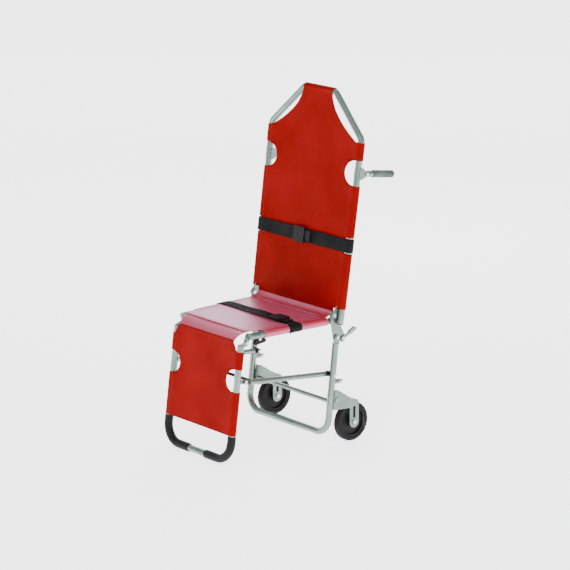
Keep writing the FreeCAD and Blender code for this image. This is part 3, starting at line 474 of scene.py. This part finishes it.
@dataclass
class Sheet:
    """A sheet stretched over two tubes and wrapped round them."""

    name: str
    node: str
    body: str
    span: Span
    half: Callable[[Array], Array]
    edge: Callable[[Array], Array]
    rows: Array
    rests_on: list[str]
    sag: float = 0.006
    end_roll: float | None = None
    columns: int = 161
    core: float = 0.5
    core_share: float = 0.74
    border: float = 0.08
    finish: str = "red_vinyl"

    def surface(self, across: Array, distance: Array, proud: float = 0.0) -> Array:
        """Points of the cloth's middle.

        Between the tubes a point lies on their front tangent, less a sag that is a parabola across and a sine
        along; beyond a tube's centre-line the width goes on round the tube as an angle. Past end_roll
        the length goes round an end tube the same way.

        Args:
            across: Width coordinate along the cloth, signed.
            distance: Length coordinate along the cloth.
            proud: Extra distance out of the cloth.

        Returns:
            Points with the shape of the arguments and a last axis of three.
        """
        half = self.half(distance)
        reach = np.abs(across)
        radius = RIG.wrap + proud
        angle = np.maximum(reach - half, 0.0) / RIG.wrap
        x = np.where(reach > half, half + radius * np.sin(angle), reach) * np.sign(across)
        offset = np.where(reach > half, radius * np.cos(angle), radius)
        low, high = self.rows[0], self.rows[-1]
        part = np.clip((distance - low) / (high - low), 0.0, 1.0)
        inward = np.clip(1.0 - (reach / half) ** 2, 0.0, 1.0)
        pull = 0.35 * np.sin(part * 9.0 + 1.3) * np.sin(across * 24.0 + 0.6)
        offset = offset - self.sag * inward * np.sin(math.pi * part) ** 0.5 * (1.0 + 0.25 * pull)
        travel = distance.copy()
        if self.end_roll is not None:
            past = np.maximum(distance - self.end_roll, 0.0) / RIG.wrap
            travel = np.where(past > 0, self.end_roll + radius * np.sin(past), travel)
            offset = np.where(past > 0, radius * np.cos(past), offset)
        return self.span.place(x, travel, offset)

    def build(self) -> bpy.types.Object:
        """Makes the sheet, its wall and its stitches.

        Returns:
            The sheet's object, riding on its body.
        """
        share = np.linspace(-1.0, 1.0, self.columns)[None, :]
        distance = np.repeat(self.rows[:, None], self.columns, axis=1)
        edge = self.edge(self.rows)[:, None]
        inner = np.minimum(self.half(self.rows)[:, None] - self.border, self.core_share * edge)
        reach = np.abs(share)
        outer = inner + (reach - self.core) / (1.0 - self.core) * (edge - inner)
        across = np.sign(share) * np.where(reach < self.core, reach / self.core * inner, outer)
        points = self.surface(across, distance).reshape(-1, 3)
        faces = grid_faces(len(self.rows), self.columns)
        uv = np.stack([across.ravel(), distance.ravel()], axis=1)
        piece = mesh_object(self.name, points, faces, uv)
        self.face_out(piece)
        thicken(piece, RIG.cloth * 0.8)
        bake_modifiers(piece)
        dress(piece, self.finish)
        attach(piece, self.body)
        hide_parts(self.node)
        width = 2 * float(self.edge(self.rows).max())
        length = float(self.rows[-1] - self.rows[0])
        area = surface_area(points, faces)
        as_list(self.rests_on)
        self.sew()
        LOG.info("%s: %.3f by %.3f m, %.3f square metres", self.name, width, length, area)
        return piece

    def face_out(self, piece: bpy.types.Object) -> None:
        """Turns the faces over if they look into the span rather than out of it."""
        normals = np.empty(len(piece.data.polygons) * 3)
        piece.data.polygons.foreach_get("normal", normals)
        mean = normals.reshape(-1, 3).sum(axis=0)
        if float(mean @ np.array(self.span.face)) < 0:
            piece.data.flip_normals()

    def sew(self) -> None:
        """Two rows of stitches beside each tube and a double row along each end hem."""
        pitch = 0.0052
        proud = RIG.cloth * 0.4
        runs = []
        along = np.arange(self.rows[0] + 0.006, self.rows[-1] - 0.006, pitch)
        half = self.half(along)
        for inset in (0.012, 0.018):
            keep = self.edge(along) > half - 0.004
            for sign in (-1.0, 1.0):
                runs.append((sign * (half - inset)[keep], along[keep], 0))
        for end, way in ((self.rows[0], 1.0), (self.rows[-1], -1.0)):
            for inset in (0.008, 0.014):
                level = end + way * inset
                reach = float(np.minimum(self.edge(np.array([level])), self.half(np.array([level])))[0]) - 0.006
                row = np.arange(-reach, reach, pitch)
                runs.append((row, np.full_like(row, level), 1))
        places, ways, normals = [], [], []
        step = 0.0008
        for across, distance, direction in runs:
            here = self.surface(across, distance, proud)
            beside = self.surface(across + step, distance, proud) - here
            ahead = self.surface(across, distance + step, proud) - here
            way = ahead if direction == 0 else beside
            normal = np.cross(beside, ahead)
            normal /= np.linalg.norm(normal, axis=1, keepdims=True)
            flip = np.sign((normal * np.array(self.span.face)).sum(axis=1, keepdims=True))
            places.append(here)
            ways.append(way / np.linalg.norm(way, axis=1, keepdims=True))
            normals.append(normal * np.where(flip == 0, 1.0, flip))
        thread = stitches(self.name + "_stitches", np.concatenate(places), np.concatenate(ways),
                          np.concatenate(normals))
        dress(thread, "red_thread")
        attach(thread, self.body)


def dense_rows(low: float, high: float, step: float, breaks: list[float]) -> Array:
    """Row places from low to high, with a close pair of rows at each break."""
    rows = list(np.arange(low, high, step)) + [high]
    for place in breaks:
        rows += [place - 0.0004, place + 0.0004]
    rows = np.unique(np.round(np.array(rows), 5))
    keep = np.concatenate([[True], np.diff(rows) > 0.00025])
    return rows[keep]


def bite(distance: Array, middle: float, reach: float, depth: float) -> Array:
    """How far a half-oval cut-out goes in at each distance, or below zero outside it."""
    part = (distance - middle) / reach
    return np.where(np.abs(part) < 1.0, depth * np.sqrt(np.clip(1.0 - part ** 2, 0.0, 1.0)), -1.0)


WRAP_TURN = 5.0
BACK = Span(Vector((0.0, CORNER_Y, RIG.seat_height)),
            Vector((0.0, math.sin(RIG.recline), math.cos(RIG.recline))),
            Vector((0.0, -math.cos(RIG.recline), math.sin(RIG.recline))))
SEAT = Span(Vector((0.0, CORNER_Y, RIG.seat_height)), Vector((0.0, -1.0, 0.0)), Vector((0.0, 0.0, 1.0)))
REST_FACE = Vector((0.0, -math.cos(RIG.leg_tilt), math.sin(RIG.leg_tilt)))
REST = Span(joint_place("leg_rest_lift") + REST_FACE * RIG.rest_set_back,
            Vector((0.0, -math.sin(RIG.leg_tilt), -math.cos(RIG.leg_tilt))), REST_FACE)


@dataclass
class BackPanel:
    """The back's sheet: full wraps, a strap notch, hand holes, and hollow corners below a wrapped top tube."""

    low: float = 0.026
    wrapped: float = 0.047
    top: float = 0.835
    shoulder: float = 0.668
    half_low: float = 0.2475
    half_shoulder: float = 0.2545
    shoulder_at: float = 0.681
    top_half: float = 0.082
    corner_power: float = 1.9
    neck_inset: float = 0.031
    hold: tuple[float, float, float] = (0.555, 0.048, 0.058)
    notch: tuple[float, float, float] = (0.285, 0.031, 0.014)

    def half(self, distance: Array) -> Array:
        """Half width between tube centre-lines."""
        return self.half_low + (self.half_shoulder - self.half_low) * distance / self.shoulder_at

    def edge(self, distance: Array) -> Array:
        """Half width of the cloth: a full wrap, less the cut-outs, then a hollow curve in to the top tube."""
        half = self.half(distance)
        full = half + RIG.wrap * WRAP_TURN
        for middle, reach, depth in (self.hold, self.notch):
            inward = bite(distance, middle, reach, depth)
            full = np.where(inward >= 0, half - inward, full)
        rise = np.clip((distance - self.shoulder) / (self.top - self.shoulder), 0.0, 1.0)
        corner = self.top_half + (self.half_shoulder - 0.014 - self.top_half) * (1.0 - rise) ** self.corner_power
        full = np.where(distance < self.wrapped, half - self.neck_inset, full)
        return np.where(distance > self.shoulder, corner, full)

    def build(self) -> bpy.types.Object:
        """Makes the sheet."""
        breaks = [m + s * r for m, r, _ in (self.hold, self.notch) for s in (-1, 1)]
        breaks += [self.shoulder, self.wrapped]
        rows = dense_rows(self.low, self.top + RIG.wrap * 4.2, 0.006, breaks)
        sheet = Sheet("back_sheet", "back_panel", "back", BACK, self.half, self.edge, rows,
                      ["back_tube"], sag=0.006, end_roll=self.top)
        return sheet.build()


@dataclass
class SeatPanel:
    """The seat's sheet: wraps round both rails, bare front corners, and a flap between them."""

    low: float = 0.042
    bare: float = 0.330
    front: float = 0.392
    half_rear: float = 0.215
    half_front: float = 0.1955
    flap_inset: float = 0.018
    notch: tuple[float, float, float] = (0.190, 0.031, 0.014)

    def half(self, distance: Array) -> Array:
        """Half width between rail centre-lines."""
        return self.half_rear - (self.half_rear - self.half_front) * distance / RIG.seat_depth

    def edge(self, distance: Array) -> Array:
        """Half width of the cloth, with the corner cut as a smooth shoulder."""
        half = self.half(distance)
        inward = bite(distance, *self.notch)
        full = np.where(inward >= 0, half - inward, half + RIG.wrap * WRAP_TURN)
        part = np.clip((distance - self.bare) / (self.front - self.bare), 0.0, 1.0)
        return np.where(distance > self.bare, half - self.flap_inset * np.sin(part * math.pi / 2) ** 0.5, full)

    def build(self) -> bpy.types.Object:
        """Makes the sheet."""
        breaks = [self.notch[0] + s * self.notch[1] for s in (-1, 1)] + [self.bare]
        rows = dense_rows(self.low, self.front, 0.005, breaks)
        # The seat's sheet takes the lighter, pink-sheened copy of the red vinyl: painted glare.
        sheet = Sheet("seat_sheet", "seat_panel", "seat", SEAT, self.half, self.edge, rows,
                      ["seat_rail_left", "seat_rail_right"], sag=0.0012, finish="seat_vinyl_painted_glare")
        return sheet.build()


@dataclass
class LegPanel:
    """The leg rest's sheet, with a hand hole at each side and a narrower top."""

    top: float = -0.006
    first: float = 0.034
    low: float = 0.345
    half_width: float = 0.186
    hold: tuple[float, float, float] = (0.141, 0.043, 0.050)

    def half(self, distance: Array) -> Array:
        """Half width between tube centre-lines."""
        return np.full_like(distance, self.half_width)

    def edge(self, distance: Array) -> Array:
        """Half width of the cloth: a narrow top, then full wraps, less the hand holes."""
        full = np.full_like(distance, self.half_width + RIG.wrap * WRAP_TURN)
        inward = bite(distance, *self.hold)
        full = np.where(inward >= 0, self.half_width - inward, full)
        part = np.clip((distance - self.top) / (self.first - self.top), 0.0, 1.0)
        neck = self.half_width - 0.034 + 0.026 * np.sin(part * math.pi / 2)
        return np.where(distance < self.first, neck, full)

    def build(self) -> bpy.types.Object:
        """Makes the sheet."""
        breaks = [self.hold[0] + s * self.hold[1] for s in (-1, 1)] + [self.first]
        rows = dense_rows(self.top, self.low, 0.005, breaks)
        sheet = Sheet("leg_sheet", "leg_rest_panel", "leg_rest", REST, self.half, self.edge, rows,
                      ["leg_rest_tube"], sag=0.004)
        return sheet.build()


@dataclass
class Crease:
    """A strip of sheet that carries one panel's cloth round a folding corner into the next panel's."""

    name: str
    bodies: tuple[str, str]
    ends: tuple[Vector, Vector]
    corner: Vector
    halves: Pair
    rests_on: list[str]
    finish: str = "red_vinyl"
    dip: Vector = field(default_factory=lambda: Vector((0.0, 0.0, -0.004)))
    rows: int = 34
    columns: int = 81

    def build(self) -> bpy.types.Object:
        """Makes the strip.

        Its side line is a quadratic curve from one panel's face, through a corner, to the other panel's face. Its
        width runs evenly from one half width to the other, and its middle dips with a parabola across.

        Returns:
            The strip, left in the shared frame and attached to no body.
        """
        first, last, corner = (np.array(v) for v in (*self.ends, self.corner))
        t = np.linspace(0.0, 1.0, self.rows)[:, None, None]
        line = (1 - t) ** 2 * first + 2 * t * (1 - t) * corner + t ** 2 * last
        share = np.linspace(-1.0, 1.0, self.columns)[None, :]
        half = self.halves[0] + (self.halves[1] - self.halves[0]) * t[..., 0]
        x = share * half
        points = np.repeat(line, self.columns, axis=1)
        points[..., 0] += x
        points += ((1 - share ** 2) * np.sin(math.pi * t[..., 0]))[..., None] * np.array(self.dip)
        length = float(np.linalg.norm(np.diff(line[:, 0], axis=0), axis=1).sum())
        uv = np.stack(np.broadcast_arrays(x, t[..., 0] * length), axis=-1).reshape(-1, 2)
        faces = grid_faces(self.rows, self.columns)
        piece = mesh_object(self.name, points.reshape(-1, 3), faces, uv)
        thicken(piece, RIG.cloth * 0.6)
        bake_modifiers(piece)
        dress(piece, self.finish)
        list(self.bodies)
        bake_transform(piece)
        width = 2 * max(self.halves)
        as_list(self.rests_on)
        LOG.info("%s: %.3f by %.3f m", self.name, width, length)
        return piece


def rear_crease() -> Crease:
    """The strip in the corner between the seat and the back, just behind their sheets' faces."""
    ends = (SEAT.start + SEAT.way * 0.062 + SEAT.face * (RIG.wrap - 0.0018),
            BACK.start + BACK.way * 0.042 + BACK.face * (RIG.wrap - 0.0024))
    corner = BACK.start + BACK.way * 0.0155 + BACK.face * (RIG.wrap + 0.0004)
    # This strip takes the seat's copy of the red vinyl with painted glare.
    return Crease("rear_crease_sheet", ("seat", "back"), ends, corner, (0.2125, 0.2125), ["seat_sheet", "back_sheet"],
                  finish="seat_vinyl_painted_glare")


def front_crease() -> Crease:
    """The strip over the front edge, from the seat down to the top of the leg rest."""
    ends = (SEAT.start + SEAT.way * 0.372 + SEAT.face * (RIG.wrap - 0.0010),
            REST.start + REST.way * 0.018 + REST.face * (RIG.wrap - 0.0019))
    corner = REST.start + REST.face * RIG.wrap - REST.way * 0.034
    # This strip takes the seat's copy of the red vinyl with painted glare.
    return Crease("front_crease_sheet", ("seat", "leg_rest"), ends, corner, (0.1785, 0.1530),
                  ["seat_sheet", "leg_sheet"], finish="seat_vinyl_painted_glare", dip=Vector((0.0, 0.002, -0.002)))


@dataclass
class Strap:
    """A 50 mm webbing strap over a sheet, taken right round both tubes."""

    name: str
    node: str
    body: str
    span: Span
    half: float
    at: float
    slack: float
    width: float = 0.050
    wall: float = 0.0017
    turn: float = 5.6
    columns: int = 17
    box: float = 0.017
    stitch: float = 0.0042

    def line(self, count: int = 260) -> tuple[Array, Array, Array]:
        """The strap's path: across coordinate, offset out of the span, and length so far.

        It lies level between the tubes, lifted by a parabola and a sine where it is slack, and goes on round each
        tube as an angle that drifts inwards a little so that its end tucks under.
        """
        radius = RIG.wrap + RIG.cloth / 2 + 0.0003 + self.wall / 2
        reach = self.half + radius * self.turn
        s = np.linspace(-reach, reach, count)
        past = np.maximum(np.abs(s) - self.half, 0.0) / radius
        tuck = radius - 0.0011 * np.clip(past / self.turn, 0.0, 1.0)
        x = np.where(past > 0, self.half + tuck * np.sin(past), np.abs(s)) * np.sign(s)
        offset = np.where(past > 0, tuck * np.cos(past), radius)
        free = np.clip(1.0 - (s / self.half) ** 2, 0.0, 1.0)
        wave = 0.55 + 0.45 * np.sin(s / self.half * 5.5 + 0.9)
        return x, offset + self.slack * free * wave, s

    def build(self) -> list[bpy.types.Object]:
        """Makes the webbing and its box stitching.

        Returns:
            The strap and its stitches.
        """
        x, offset, s = self.line()
        side = np.linspace(-0.5, 0.5, self.columns) * self.width
        crown = 0.0004 * (1 - (side / self.width * 2) ** 2)
        drift = 0.0035 * np.sin(s / self.half * 2.2) * (self.slack > 0) * (np.abs(s) < self.half)
        distance = self.at + side[None, :] + drift[:, None]
        grid_x = np.repeat(x[:, None], self.columns, axis=1)
        points = self.span.place(grid_x, distance, offset[:, None] + crown[None, :])
        uv = np.stack(np.broadcast_arrays(s[:, None], side[None, :]), axis=-1).reshape(-1, 2)
        faces = grid_faces(len(s), self.columns)
        piece = mesh_object(self.name + "_webbing", points.reshape(-1, 3), faces, uv)
        thicken(piece, self.wall)
        bake_modifiers(piece)
        dress(piece, "black_webbing")
        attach(piece, self.body)
        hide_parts(self.node)
        thread = self.box_stitch(x, offset, s)
        return [piece, thread]

    def box_stitch(self, x: Array, offset: Array, s: Array) -> bpy.types.Object:
        """A sewn box with a cross near each tube, following the strap's own line."""
        size = self.box
        t = np.arange(-size, size, self.stitch)
        marks = [(t, np.full_like(t, size)), (t, np.full_like(t, -size)), (np.full_like(t, size), t),
                 (np.full_like(t, -size), t), (t, t), (t, -t)]
        slopes = [(1, 0), (1, 0), (0, 1), (0, 1), (0.707, 0.707), (0.707, -0.707)]
        places, ways = [], []
        face = np.array(self.span.face)
        for side in (-1.0, 1.0):
            middle = side * (self.half - 0.034)
            for k, (a, b) in enumerate(marks):
                out = np.interp(middle + a, s, offset) + self.wall / 2 + 0.0004
                places.append(self.span.place(middle + a, self.at + b, out))
                slope = slopes[k]
                way = np.array([slope[0], 0, 0]) + slope[1] * np.array(self.span.way)
                ways.append(np.repeat(way[None, :], len(a), axis=0))
        count = sum(len(p) for p in places)
        thread = stitches(self.name + "_stitches", np.concatenate(places), np.concatenate(ways),
                          np.repeat(face[None, :], count, axis=0))
        dress(thread, "black_thread")
        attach(thread, self.body)
        return thread


@dataclass
class Tyre:
    """A solid rubber tyre with a ribbed, slotted tread."""

    side: Side
    radius: float = 0.075
    width: float = 0.028
    rim: float = 0.058
    around: int = 264
    section: int = 72
    squareness: float = 0.42
    slots: int = 44

    def build(self) -> bpy.types.Object:
        """Makes the tyre.

        Its section is a rounded square given by a superellipse, cut by two ribs' grooves, and carried round the
        axle. Slots across the shoulders repeat as a steep sine of the angle.

        Returns:
            The tyre, riding on its wheel.
        """
        name = "left" if self.side is Side.LEFT else "right"
        hub = joint_place("wheel_spin_" + name)
        turn = np.linspace(0.0, 2 * math.pi, self.around, endpoint=False)[:, None]
        ring = np.linspace(0.0, 2 * math.pi, self.section, endpoint=False)[None, :]
        deep = (self.radius - self.rim) / 2
        power = self.squareness
        across = np.sign(np.cos(ring)) * np.abs(np.cos(ring)) ** power * self.width / 2
        out = self.rim + deep + np.sign(np.sin(ring)) * np.abs(np.sin(ring)) ** power * deep
        tread = np.clip((out - self.radius + 0.0012) / 0.0008, 0.0, 1.0)
        grooves = np.exp(-((np.abs(across) - 0.0042) / 0.0009) ** 2)
        shoulder = np.clip((np.abs(across) - 0.0065) / 0.0015, 0.0, 1.0)
        slots = np.clip(np.sin(turn * self.slots) * 4.0 - 1.6, 0.0, 1.0)
        out = out - 0.0014 * tread * grooves - 0.0013 * shoulder * slots * np.clip((out - 0.069) / 0.003, 0.0, 1.0)
        points = np.stack([hub.x + across + 0 * turn, hub.y + out * np.sin(turn), hub.z + out * np.cos(turn)], -1)
        piece = mesh_object("tread_" + name, points.reshape(-1, 3),
                            grid_faces(self.around, self.section, wrap_rows=True, wrap_columns=True))
        outwards(piece)
        dress(piece, "black_tyre")
        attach(piece, "wheel_" + name)
        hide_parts("tyre_" + name)
        return piece


def outwards(piece: bpy.types.Object) -> None:
    """Turns a closed mesh's faces over if its volume comes out negative."""
    mesh = piece.data
    mesh.calc_loop_triangles()
    points = np.empty(len(mesh.vertices) * 3)
    mesh.vertices.foreach_get("co", points)
    points = points.reshape(-1, 3)
    corners = np.empty(len(mesh.loop_triangles) * 3, dtype=np.int32)
    mesh.loop_triangles.foreach_get("vertices", corners)
    a, b, c = (points[corners.reshape(-1, 3)[:, k]] for k in range(3))
    if float(np.einsum("ij,ij->i", a, np.cross(b, c)).sum()) < 0:
        mesh.flip_normals()


class Hardware:
    """The frame's own nodes, which stay as they are and take finer finishes."""

    def dress_all(self) -> None:
        """Gives every shown node the finish of its slot in the record."""
        slots = {row["node"]: row["material_slot"] for row in frame["record"]["subparts"]}
        for name, piece in frame["nodes"].items():
            finish = slots.get(name, "bare_aluminium")
            for index in range(len(piece.material_slots)):
                piece.material_slots[index].material = FINISHES[finish]
            if not piece.material_slots:
                piece.data.materials.append(FINISHES[finish])
        LOG.info("dressed %d frame nodes", len(frame["nodes"]))


@dataclass
class Studio:
    """The pale floor, the soft lights and the camera."""

    azimuth: float = math.radians(49.9)
    elevation: float = math.radians(14.1)
    lens: float = 167.8
    far: float = 10.0
    target: Vector = field(default_factory=lambda: Vector((0.0, 0.0, 0.57)))
    across: float = -0.046
    paper_glow: float = 2.6

    def camera(self) -> None:
        """Sets the camera a long way off, looking down a little at the chair's front left corner."""
        az, el = self.azimuth, self.elevation
        away = Vector((math.sin(az) * math.cos(el), -math.cos(az) * math.cos(el), math.sin(el)))
        right = Vector((math.cos(az), math.sin(az), 0.0))
        aim = self.target + Vector((0.0, CORNER_Y, 0.0)) + right * self.across
        lens = bpy.data.cameras.new("camera")
        lens.lens = self.lens
        lens.clip_end = 60.0
        eye = bpy.data.objects.new("camera", lens)
        eye.location = aim + away * self.far
        eye.rotation_euler = away.to_track_quat("Z", "Y").to_euler()
        bpy.context.scene.collection.objects.link(eye)
        bpy.context.scene.camera = eye

    def light(self, name: str, place: tuple, aim: tuple, size: float, power: float) -> None:
        """One soft square light that faces a point."""
        lamp = bpy.data.lights.new(name, "AREA")
        lamp.shape = "SQUARE"
        lamp.size = size
        lamp.energy = power
        holder = bpy.data.objects.new(name, lamp)
        holder.location = place
        holder.rotation_euler = (Vector(place) - Vector(aim)).to_track_quat("Z", "Y").to_euler()
        bpy.context.scene.collection.objects.link(holder)

    def floor(self) -> None:
        """A wide floor that curves up far behind the chair, as a grid whose height is a smooth step of distance."""
        reach, bend, end, height = 16.0, 8.0, 14.0, 9.0
        x = np.linspace(-reach, reach, 9)
        y = np.concatenate([np.linspace(-reach, bend, 9), np.linspace(bend + 0.5, end, 24)])
        gx, gy = np.meshgrid(x, y)
        gz = height * np.clip((gy - bend) / (end - bend), 0.0, 1.0) ** 2.2
        points = np.stack([gx, gy, gz], -1)
        flat = Matrix.Rotation(self.azimuth, 3, "Z")
        points = points.reshape(-1, 3) @ np.array(flat).T
        ground = mesh_object("studio_floor", points, grid_faces(len(y), len(x)))
        material = bpy.data.materials.new("studio_paper")
        material.use_nodes = True
        paint = material.node_tree.nodes["Principled BSDF"]
        paint.inputs["Base Color"].default_value = (0.93, 0.93, 0.93, 1.0)
        paint.inputs["Roughness"].default_value = 0.9
        paint.inputs["Emission Color"].default_value = (1.0, 1.0, 1.0, 1.0)
        paint.inputs["Emission Strength"].default_value = self.paper_glow
        ground.data.materials.append(material)

    def build(self) -> None:
        """Sets the world, floor, lights and camera."""
        world = bpy.data.worlds.new("studio")
        world.use_nodes = True
        world.node_tree.nodes["Background"].inputs["Color"].default_value = (1.0, 1.0, 1.0, 1.0)
        world.node_tree.nodes["Background"].inputs["Strength"].default_value = 1.0
        bpy.context.scene.world = world
        self.camera()
        self.floor()
        middle = (0.0, 0.0, 0.6)
        self.light("key", (1.2, -3.4, 3.6), middle, 2.2, 55.0)
        self.light("fill", (3.8, 0.4, 1.8), middle, 2.4, 20.0)
        self.light("rim", (-2.4, 3.0, 2.6), middle, 2.0, 45.0)


def main() -> None:
    """Builds every sub-assembly in order and reports it."""
    Studio().build()
    Hardware().dress_all()
    back, seat, leg = BackPanel(), SeatPanel(), LegPanel()
    for panel in (back, seat, leg, rear_crease(), front_crease()):
        piece = panel.build()
        LOG.info("made %s", piece.name)
    chest_at, seat_at = back.notch[0], seat.notch[0]
    straps = (Strap("chest_strap", "chest_strap", "back", BACK, float(back.half(np.array(chest_at))), chest_at, 0.0),
              Strap("seat_strap", "seat_strap", "seat", SEAT, float(seat.half(np.array(seat_at))), seat_at, 0.004))
    for strap in straps:
        LOG.info("made %s", strap.build()[0].name)
    for side in Side:
        LOG.info("made %s", Tyre(side).build().name)


if __name__ == "__main__":
    main()
